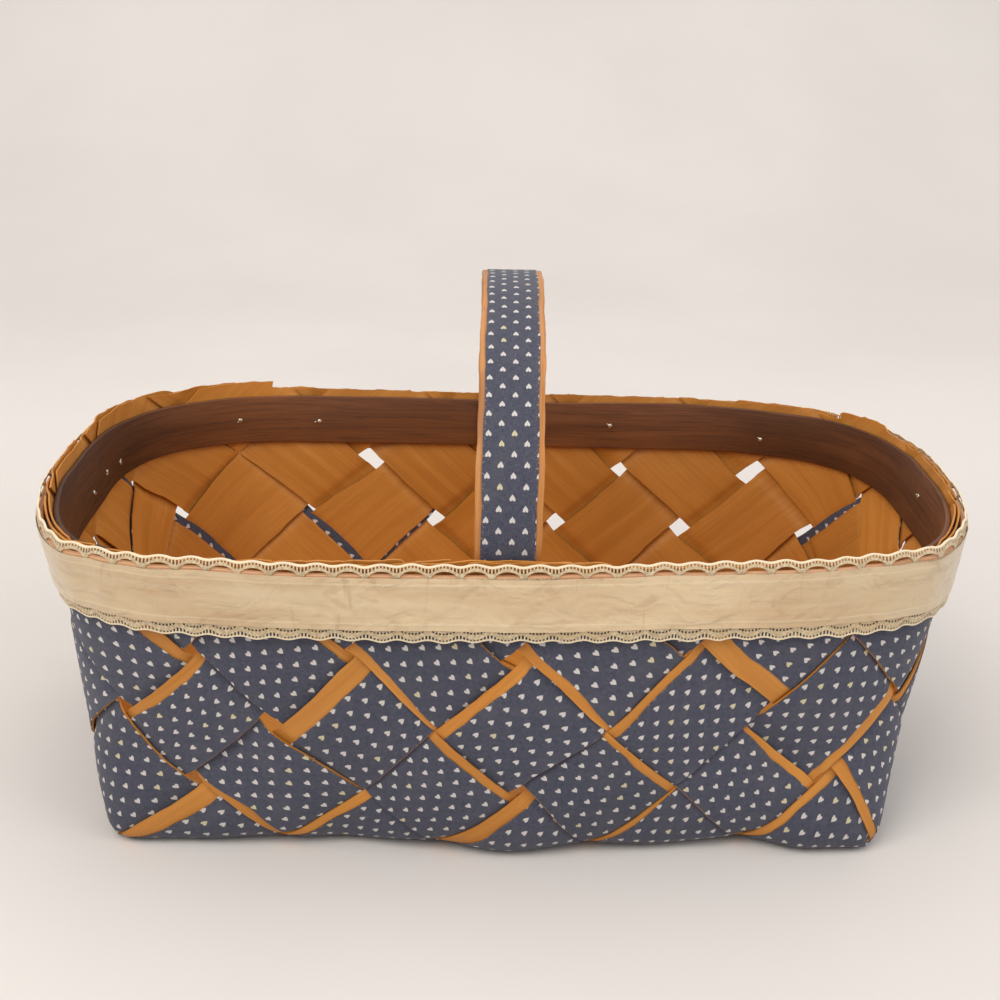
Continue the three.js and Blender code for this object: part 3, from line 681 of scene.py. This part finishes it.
def layStrip(course, label, kind):
    strip, tape = splints[kind], kind == "cloth"
    edgeSeed = sum(ord(letter) * (k + 3) for k, letter in enumerate(label))
    seed = edgeSeed + strip["seedStep"]
    draws = np.random.default_rng(seed)
    t = np.linspace(-1, 1, strip["columns"] + 1)
    if tape:
        t = np.sort(np.concatenate([t, [splints["frayShare"] - 1, 1 - splints["frayShare"]]]))
    tops = []
    for k, rimU in enumerate(course.rimU()):
        rough = splints["raggedness"] * unevenness(t * 0.02, 0.012, seed + k, 5)
        skew = splints["standSpread"] * draws.uniform(-1, 1) + splints["slant"] * draws.uniform(-1, 1) * t
        places = (rimU + t / 2 * course.lateralRound[k]) % cellsRound
        stand = between(places, splints["stand"]) + skew + rough
        over = splints["tapeTop"] if tape else np.maximum(stand, splints["leastStand"])
        tops.append(cellsHigh + over / 1000 / rowHeight)
    shifts = splints["shifts"].get(label) if tape else None
    if tape and shifts is None:
        shifts = draws.uniform(-3, 3, (2, 2)).tolist()

    # First a plain net, to learn where the edges are at both ends, and then the true one
    plain = t * splints["plainHalf"]
    offset = [plain, plain]
    for _ in range(2):
        s = course.rows(offset[0], offset[-1], tops)
        offset = stripOffsets(course, label, s, t, (edgeSeed, edgeSeed + 1, seed + 11, seed + 12), shifts)
    points, normals = course.surface(s, offset)
    level = course.level(s, course.climb(s, plain))[..., None] + strip["foot"]
    outer, inner = points + normals * (level + strip["thickness"]), points + normals * level
    faces = gridFaces(*s.shape)
    if np.cross(outer[1, 0] - outer[0, 0], outer[0, 1] - outer[0, 0]) @ normals[0, 0] > 0:
        faces = faces[:, ::-1]
    flip = -1 if label in splints["flipped"] and tape else 1
    phase = draws.uniform(0, 0.05, 2)
    along, across = s * cellDiagonal / 2 + phase[0], offset * cellDiagonal + (0 if tape else phase[1])
    toneAndShade = draws.uniform(0.96, 1.05) if tape else splints["tones"].get(label, draws.uniform(0.94, 1.05))
    attributes = {"toneAndShade": toneAndShade}
    if tape:
        attributes["fray"] = np.pad(np.zeros(np.array(s.shape) - 2), 1, constant_values=1)
    piece = addMesh(f"{kind}_{label}", strip["node"] + label, [outer, inner], faces, strip["look"],
                    np.stack([flip * along, across], -1), attributes)
    length = np.linalg.norm(np.diff(outer[:, len(t) // 2], axis=0), axis=1).sum()
    width = np.linalg.norm(np.diff(outer, axis=1), axis=2).sum(1).mean()
    return piece, length, width


familyCount = basket["cellsLong"] + basket["cellsWide"]
for rising in (True, False):
    for k in range(familyCount):
        label = f"{'rising' if rising else 'falling'}_{k + 1:02d}"
        course = Course(rising, k - familyCount // 2)
        veneer, _, _ = layStrip(course, label, "veneer")
        cloth, length, width = layStrip(course, label, "cloth")
print("splints and tapes laid")

# Hoops, ribbon and laces go round the rim on its middle surface, straight from the hoops' foot to their top
rim = {
    "hoopHeight": 0.0254, "hoopThickness": 0.0024, "edgeRound": 0.0006, "hoopSway": 0.0004,
    "innerGap": 0.00035, "outerGap": 0.00085,
    "columns": 800, "seam": 10.3,  # where the ends of the bands meet, at the back
    # Painted light and shade on the inner hoop, by the place round the rim: under 1 paints shade, deepest on
    # the left side, and over 1 paints light
    "toneAndShade": {
        10.3: 0.96, 11.2: 0.84, 12.2: 1, 13: 0.76, 13.5: 0.46, 15.5: 0.46, 17: 0.75, 21: 0.9, 22.3: 0.7,
        22.9: 0.7, 23.6: 0.82, 24.2: 0.64, 24.7: 0.85, 25.3: 1.12, 26.3: 0.96,
    },
}
hoopFoot = cellsHigh - rim["hoopHeight"] / rowHeight
innerFace = -basket["stackHalf"] - rim["innerGap"]
innerBack = innerFace - rim["hoopThickness"]
outerFace = basket["stackHalf"] + rim["outerGap"]
outerBack = outerFace + rim["hoopThickness"]
rimU = rim["seam"] + np.arange(rim["columns"] + 1) / rim["columns"] * cellsRound


def rimNormal(u):
    return unit(normalOf(wallPoint, u, hoopFoot) + normalOf(wallPoint, u, cellsHigh))


# share is the height on the hoop, 0 to 1, and level is the distance out from the middle surface
def rimPlace(u, share, level):
    low, high = wallPoint(u, hoopFoot), wallPoint(u, cellsHigh)
    share, level = np.asarray(share)[..., None], np.asarray(level)[..., None]
    return low + (high - low) * share + rimNormal(u) * level


def runAlong(line):
    return np.concatenate([[0], np.cumsum(np.linalg.norm(np.diff(line, axis=0), axis=1))])


rimRun = runAlong(rimPlace(rimU, 0.5, 0.0))  # metres from the seam
rimLength = rimRun[-1]


# A rounded rectangle, counterclockwise seen with the height up and the level to the right
def roundedProfile(height, thickness, radius, steps=3):
    angles = np.radians(np.linspace(0, 90, steps + 1)) + np.radians([[180], [270], [0], [90]])
    levels = np.array([radius, thickness - radius, thickness - radius, radius])[:, None]
    heights = np.array([radius, radius, height - radius, height - radius])[:, None]
    return (heights + radius * np.sin(angles)).ravel(), (levels + radius * np.cos(angles)).ravel()


def addHoop(name, node, face, seed, material, toneAndShade):
    heights, levels = roundedProfile(rim["hoopHeight"], rim["hoopThickness"], rim["edgeRound"])
    run = rimRun[:, None]
    sway = rim["hoopSway"] * unevenness(run, rimLength / 6, seed, 3, rimLength)
    heights = heights + sway * smooth(0, rim["hoopHeight"], heights)
    levels = face + levels + 0 * run
    points = rimPlace(rimU[:, None], heights / rim["hoopHeight"], levels)
    faces = [group[:, ::-1] for group in tubeFaces(*heights.shape)]
    uv = np.stack([run + 0 * heights, heights + 0.003 * np.abs(levels - face)], -1)
    addMesh(name, node, points, faces, material, uv, {"toneAndShade": toneAndShade + 0 * heights}, 0.9)


# The inner hoop's painted light and shade, round the rim
hoopLightAndShade = between(rimU, rim["toneAndShade"])[:, None]
addHoop("innerHoopBand", "inner_hoop", innerBack, 41, innerHoopLook, hoopLightAndShade)
addHoop("outerHoopBand", "outer_hoop", outerFace, 42, outerHoopLook, 1)

# The ribbon is pulled round the outer hoop: slow waves and short creases lift it a little off the wood, and a
# ridge stands along the inner end of each border
ribbon = {
    "width": 0.024, "thickness": 0.0003, "gap": 0.0005, "rows": 24, "lap": 0.03, "sway": 0.0004,
    "wave": 0.00025, "crease": 0.00012, "ridge": 0.00015, "ridgeWidth": 0.0007,
    # Painted shade along the ribbon, by the place round the rim: lightest in the middle of the front, darker
    # round the sides and the back
    "toneAndShade": {10: 0.86, 15.6: 0.86, 16.6: 0.91, 18: 1, 19.5: 1, 20.6: 0.9, 21.4: 0.84, 27: 0.84},
}
ribbonFoot = (rim["hoopHeight"] - ribbon["width"]) / 2


def addRibbon():
    heights = np.linspace(0, ribbon["width"], ribbon["rows"] + 1)[:, None]
    run = rimRun[None, :] * np.ones_like(heights)
    wave = ribbon["wave"] * (1 + unevenness(run, 0.09, 51, 3, rimLength))
    wave = wave + ribbon["crease"] * unevenness(run + heights, 0.02, 52, 3, rimLength)
    ridge = sum(ribbon["ridge"] * np.exp(-((ribbonFoot + heights - line) / ribbon["ridgeWidth"]) ** 2)
                for line in ribbonLines)
    level = outerBack + ribbon["gap"] + wave + ridge
    shape = ribbonFoot + heights + ribbon["sway"] * unevenness(run[:1], 0.16, 53, 3, rimLength)
    share = shape / rim["hoopHeight"]
    grids = [rimPlace(rimU[None, :], share, level + lift) for lift in (ribbon["thickness"], 0)]
    # The ribbon's painted shade, round the rim
    toneAndShade = ease(rimU, ribbon["toneAndShade"]) + 0 * shape
    piece = addMesh("ribbonBand", "ribbon", grids, gridFaces(*shape.shape), ribbonLook,
                    np.stack([run, shape], -1), {"toneAndShade": toneAndShade})


addRibbon()

# Scalloped lace, from the ribbon out: a half-round window in every pitch, a plain band that follows it, a row
# of eyelets and a wavy cord. The upper windows are clear, and the lower ones filled but for eyelets round the
# arch. Way 1 is the lace that stands up from the ribbon, and -1 the one that hangs down.
lace = {
    "pitch": 0.0124, "eyelets": 9, "eyeletShare": 0.58, "tuck": 0.0058, "thickness": 0.00032,
    "level": 0.00008,
    "edgeHeight": {1: 0.0051, -1: 0.0057}, "edgeWave": {1: 0.00045, -1: 0.0006}, "cordWidth": 0.0007,
    "eyeletHeight": 0.0009, "eyeletStretch": 1.2, "least": 0.0001, "lap": 0.02, "overlap": 0.0002,
    "windowHeight": {1: 0.0029, -1: 0.0023}, "windowShare": 3.7 / 9, "archEyelet": 0.0010,
    "curl": {1: 0.0019, -1: 0.0004}, "sway": 0.0002, "drift": 0.0003,
    # For each line of the net, how much it thickens to either side and how far it is cord
    "lift": [0, 0, 0, 0.00004, 0.00008, 0.00012, 0.00035, 0.00012], "cord": [0, 0, 0, 0, 0, 0.5, 1, 1],
    "sunk": {7.4: 0, 8.2: 0.0016, 12.4: 0.0016, 13.2: 0},  # of the upper lace, at the back
}


def addLace(name, node, foot, way, seed):
    pitches = round(rimLength / lace["pitch"])
    pitch, eyelets = rimLength / pitches, lace["eyelets"]
    half = lace["eyeletShare"] / 2
    run = ((np.arange(pitches * eyelets)[:, None] + [-half, half]) / eyelets * pitch).ravel()
    run = np.append(run, run[0] + rimLength)
    phase = (run / pitch + 0.5) % 1 - 0.5
    wave = np.cos(2 * np.pi * phase)
    edge = lace["edgeHeight"][way] + lace["edgeWave"][way] * wave
    cordLow = edge - lace["cordWidth"]
    eyeletLow = cordLow - lace["eyeletHeight"] * (1 + lace["eyeletStretch"] * ((1 - wave) / 2) ** 2)
    arch = lace["windowHeight"][way] * np.sqrt(np.clip(1 - (phase / lace["windowShare"]) ** 2, 0, 1))
    arch = np.maximum(arch, 2 * lace["least"])
    heights = np.stack([0 * run - lace["tuck"], 0 * run, np.maximum(arch - lace["archEyelet"], lace["least"]),
                        arch, eyeletLow, cordLow, edge - lace["cordWidth"] / 2, edge])
    lift = np.array(lace["lift"])[:, None]

    # Which cells of the net are cloth: columns are by turns an eyelet and the threads beside it
    solid = np.ones((len(heights) - 1, len(run) - 1), bool)
    eyelet = np.arange(len(run) - 1) % 2 == 0
    middle = (run[1:] + run[:-1]) / 2
    window = np.abs((middle / pitch + 0.5) % 1 - 0.5) < lace["windowShare"]
    solid[4, eyelet] = False
    solid[2, window if way > 0 else window & eyelet] = False
    solid[1, window & (way > 0)] = False

    u = np.interp(run % rimLength, rimRun, rimU)
    rise = np.clip(heights / lace["edgeHeight"][way], 0, 1)
    waves = lace["sway"] * unevenness(run, 0.03, seed, 3, rimLength) * rise
    out = outerBack + lace["level"] + waves - lace["curl"][way] * rise ** 2
    sunk = (way > 0) * ease(u % cellsRound, lace["sunk"])
    drift = lace["drift"] * unevenness(run, 0.11, seed + 1, 3, rimLength)
    place = (foot + way * heights + drift - sunk) / rim["hoopHeight"]
    grids = [rimPlace(u[None, :], place, out + more) for more in (lace["thickness"] + lift, -lift)]
    faces = shellFaces(solid)
    piece = addMesh(name, node, grids, faces if way > 0 else faces[:, ::-1], laceLook,
                    attributes={"cord": np.repeat(lace["cord"], len(run))}, sharpAngle=1.2)


addLace("upperLaceEdge", "upper_lace", ribbonFoot + ribbon["width"] - lace["overlap"], 1, 61)
addLace("lowerLaceEdge", "lower_lace", ribbonFoot + lace["overlap"], -1, 71)
print("rim banded and edged")

# The handle: a bent strip of wood inside the inner hoop, up over the crown and down again, faced with calico
handle = {
    "width": 0.0272, "thickness": 0.0022, "gap": 0.0003, "footDrop": 0.003,
    "frontOffset": -0.0045, "backOffset": 0.0033,  # off the middle of the basket, at the two feet
    "rise": 0.0905, "shoulder": 0.048, "crown": 0.068, "edgeRound": 0.0004,
    "tapeWidth": 0.0222, "tapeGap": 0.0001, "tapeThickness": 0.0003, "tapeClear": 0.001, "wobble": 0.0003,
    "lean": 0.0008, "legRows": 16, "rows": 64, "printAcross": -0.0013, "printAlong": 0.0043,
}


# Half of the handle's middle line, in the plane across the basket: a straight leg, then a cubic Bezier curve
def handleHalf(middle, side):
    legLevel = innerBack - handle["gap"] - handle["thickness"] / 2
    foot, shoulder = [(wallPoint(middle, v) + normalOf(wallPoint, middle, v) * legLevel)[1:]
                      for v in (hoopFoot - handle["footDrop"] / rowHeight, cellsHigh)]
    way = unit(shoulder - foot)
    crown = np.array([0, basket["wallHeight"] + handle["rise"] - handle["thickness"] / 2])
    t = np.linspace(0, 1, handle["rows"])[:, None]
    arch = ((1 - t) ** 3 * shoulder + 3 * (1 - t) ** 2 * t * (shoulder + way * handle["shoulder"])
            + 3 * (1 - t) * t ** 2 * (crown + np.array([side * handle["crown"], 0])) + t ** 3 * crown)
    leg = foot + (shoulder - foot) * np.linspace(0, 1, handle["legRows"] + 1)[:-1, None]
    return np.concatenate([leg, arch])


handlePath = np.concatenate([handleHalf(halfLong, -1), handleHalf(wallStart[back] + halfLong, 1)[-2::-1]])
handleWay = unit(np.gradient(handlePath, axis=0))
handleOut = np.stack([-handleWay[:, 1], handleWay[:, 0]], -1)
handleRun = runAlong(handlePath)
handleShare = handleRun / handleRun[-1]


# Points beside the handle's line: x off its middle, and a height above its outer side
def handlePlace(x, height):
    lean = np.interp(handlePath[:, 0], handlePath[[0, -1], 0], [handle["frontOffset"], handle["backOffset"]])
    lean = lean + handle["lean"] * np.sin(np.pi * handleShare)
    place = handlePath[:, None, :] + handleOut[:, None, :] * height[..., None]
    return np.stack([lean[:, None] + x, place[..., 0], place[..., 1]], -1)


def addHandle():
    heights, levels = roundedProfile(handle["width"], handle["thickness"], handle["edgeRound"])
    x = (heights - handle["width"] / 2)[None, :] * np.ones((len(handlePath), 1))
    x = x + handle["wobble"] * unevenness(handleRun[:, None] + 0 * x, 0.06, 81, 4) * np.sign(x)
    height = (levels - handle["thickness"] / 2)[None, :] + 0 * x
    uv = np.stack([handleRun[:, None] + 0 * x, x + 0.3 * height], -1)
    addMesh("handleWood", "handle", handlePlace(x, height), list(tubeFaces(*x.shape)), handleLook,
            uv, {"toneAndShade": 1.0}, 0.9)


def addHandleTape():
    clear = handleShare[handle["legRows"]] + handle["tapeClear"] / handleRun[-1]
    start = np.searchsorted(handleShare, clear)
    rows = slice(start, len(handleShare) - start)
    t = np.linspace(-1, 1, 13)[None, :]
    run = handleRun[:, None] + 0 * t
    x = t * (handle["tapeWidth"] / 2 + handle["wobble"] * unevenness(run, 0.05, 91, 4))
    foot = handle["thickness"] / 2 + handle["tapeGap"]
    grids = [handlePlace(x, foot + lift + 0 * x)[rows] for lift in (handle["tapeThickness"], 0)]
    uv = np.stack([run + handle["printAlong"], x + handle["printAcross"]], -1)[rows]
    fray = (np.abs(t) == 1) + 0 * run[rows]
    piece = addMesh("handleCloth", "handle_calico", grids, gridFaces(*fray.shape), calicoLook, uv,
                    {"toneAndShade": 1.0, "fray": fray})


addHandle()
addHandleTape()
print("handle bent and faced")

# Nails through the inner hoop and tacks through the handle's feet: a domed head, a shank, and on the nails a
# small burr. A place is u, in cells round the rim, and the height on the hoop, 0 to 1. The dome is given in
# degrees, and the shank as radius and height from under the head down.
nails = {
    "rim": [(12.49, 0.5), (11.89, 0.45), (8.44, 0.35), (13.71, 0.3), (14.01, 0.35), (14.4, 0.3), (6.44, 0.6),
            (0.7, 0.5), (1.6, 0.4), (3.4, 0.55), (4.4, 0.45), (9.6, 0.5)],
    "tackSpacing": 0.012, "headRadius": 0.0013, "headHeight": 0.0006, "headLift": 0.00015, "sides": 16,
    "dome": [85, 60, 35, 12, 0], "shank": [(0.0013 * 0.96, 0.00003), (0.0006, 0.00002), (0.0006, -0.0016)],
    "burrRadius": 0.0006, "burrFlatness": 0.8, "burrDepth": 0.0008, "burrSpacing": 0.0024, "burrSpread": 0.4,
}


# A turned shape about the normal at a place: profile is a list of radius and height, from its top to its foot
def turnedPoints(profile, u, share, level, shift):
    angles = np.linspace(0, 2 * np.pi, nails["sides"], endpoint=False)
    radius, height = np.array(profile).T
    inward = -rimNormal(u)
    upward = unit(wallPoint(u, cellsHigh) - wallPoint(u, hoopFoot))
    aside = unit(np.cross(inward, upward))
    centre = rimPlace(u, share, level) + aside * shift[0] + upward * shift[1]
    ring = np.cos(angles)[:, None] * aside + np.sin(angles)[:, None] * upward
    return centre + ring[None] * radius[:, None, None] + inward * height[:, None, None]


def addNail(name, node, u, share, level, burr, seed):
    dome = [(np.cos(angle), np.sin(angle)) for angle in np.radians(nails["dome"])]
    head = [(nails["headRadius"] * x, nails["headLift"] + nails["headHeight"] * y) for x, y in dome]
    parts = [(head + nails["shank"], (0, 0))]
    if burr:
        size, flatness = nails["burrRadius"], nails["burrFlatness"]
        angle = np.random.default_rng(seed).uniform(0, 2 * np.pi)
        small = [(size * x, size * flatness * y) for x, y in dome] + [(size * flatness, -nails["burrDepth"])]
        aside = np.array([np.cos(angle), nails["burrSpread"] * np.sin(angle)])
        parts.append((small, nails["burrSpacing"] * aside))
    points, faces, first = [], [], 0
    for profile, shift in parts:
        points.append(turnedPoints(profile, u, share, level, shift).reshape(-1, 3))
        faces += tubeFaces(len(profile), nails["sides"], first)
        first += len(points[-1])
    addMesh(name, node, np.concatenate(points), faces, nailLook)


for k, (u, share) in enumerate(nails["rim"]):
    addNail(f"hoopNail_{k + 1:02d}", f"rim_nail_{k + 1:02d}", u, share, innerBack, True, 100 + k)
cellsPerMetre = basket["cellsLong"] / basket["rimLength"]
footU = [halfLong + handle["frontOffset"] * cellsPerMetre,
         wallStart[back] + halfLong - handle["backOffset"] * cellsPerMetre]
halfSpacing = nails["tackSpacing"] / 2 / rim["hoopHeight"]
tackPlaces = [(u, 0.5 + lift) for u in footU for lift in (-halfSpacing, halfSpacing)]
tackLevel = innerBack - handle["gap"] - handle["thickness"]
for k, (u, share) in enumerate(tackPlaces):
    addNail(f"footTack_{k + 1}", f"handle_tack_{k + 1}", u, share, tackLevel, False, 200 + k)
print("nailed")

# The lens is fitted to the photograph, in millimetres on a sensor as wide as the picture
camera = {
    "place": (-0.035581, -0.728781, 0.390690), "pitch": 0.355, "roll": 0.028, "yaw": 0.045,
    "lens": 1664.19 * 36 / 1000, "sensor": 36, "clipEnd": 50,
}
data = bpy.data.cameras.new("camera")
data.lens, data.sensor_width, data.clip_end = camera["lens"], camera["sensor"], camera["clipEnd"]
eye = addObject("camera", data)
eye.matrix_world = Matrix.Translation(camera["place"])
for angle, axis in ((-camera["yaw"], "Z"), (np.pi / 2 - camera["pitch"], "X"), (camera["roll"], "Z")):
    eye.matrix_world = eye.matrix_world @ Matrix.Rotation(angle, 4, axis)
bpy.context.scene.camera = eye

# A floor that runs back flat and rises in a quarter circle to a wall, and lamps, each with its name, place,
# size, power and colour
studio = {
    "floorSize": 6.0, "bendAt": 0.9, "bendRadius": 0.9, "floorColour": tint(226, 220, 214),
    "worldColour": (0.80, 0.80, 0.82, 1), "worldStrength": 0.75, "target": (0, 0, 0.08),
    "lamps": [
        ("keyLamp", (-0.9, -1.1, 1.7), 1.4, 24, (1.0, 0.97, 0.93)),
        ("fillLamp", (1.5, -0.7, 1.3), 1.6, 10, (0.95, 0.97, 1.0)),
        ("topLamp", (0.1, 0.7, 1.9), 1.6, 10, (1.0, 0.98, 0.95)),
    ],
}


def addFloor():
    half, bendAt, bendRadius = studio["floorSize"] / 2, studio["bendAt"], studio["bendRadius"]
    turn = np.linspace(0, np.pi / 2, 25)
    y = np.concatenate([[-half], bendAt + bendRadius * np.sin(turn), [bendAt + bendRadius]])
    z = np.concatenate([[0], bendRadius * (1 - np.cos(turn)), [bendRadius + half]])
    corners = np.concatenate([np.stack([np.full(len(y), x), y, z], -1) for x in (-half, half)])
    index = np.arange(2 * len(y)).reshape(2, -1)
    faces = netFaces(index).reshape(-1, 4)[:, ::-1]
    mesh = bpy.data.meshes.new("floor")
    mesh.from_pydata(corners.tolist(), [], faces.tolist())
    mesh.polygons.foreach_set("use_smooth", np.ones(len(faces), bool))
    recipe = Recipe("floorLook")
    cloud = recipe.noise(recipe.place(), 3, 4)
    base = recipe.cover(studio["floorColour"], tint(220, 214, 208), cloud, 0.3, 0.7)
    mesh.materials.append(recipe.shade({"Base Color": base, "Roughness": 0.9, "Specular IOR Level": 0.1}))
    addObject("floor", mesh)


# The camera and shiny surfaces see the world in the floor's colour, and everything else is lit by its own
def addWorld():
    world = bpy.data.worlds.new("studio")
    bpy.context.scene.world = world
    world.use_nodes = True
    tree = world.node_tree
    light = tree.nodes["Background"]
    feed(tree, light, {"Color": studio["worldColour"], "Strength": studio["worldStrength"]})
    seen = addNode(tree, "Background", {"Color": studio["floorColour"]})
    rays = [addNode(tree, "LightPath", output=name) for name in ("Is Camera Ray", "Is Glossy Ray")]
    both = addNode(tree, "Math", rays, operation="ADD", use_clamp=True)
    mixed = addNode(tree, "MixShader", [both, light.outputs[0], seen])
    feed(tree, tree.nodes["World Output"], {"Surface": mixed})


addFloor()
addWorld()
for name, place, size, power, colour in studio["lamps"]:
    data = bpy.data.lights.new(name, "AREA")
    data.size, data.energy, data.color = size, power, colour
    turn = (Vector(place) - Vector(studio["target"])).to_track_quat("Z", "Y")
    addObject(name, data).matrix_world = Matrix.Translation(place) @ turn.to_matrix().to_4x4()
bpy.context.scene.view_settings.view_transform = "Standard"
print("stage set")
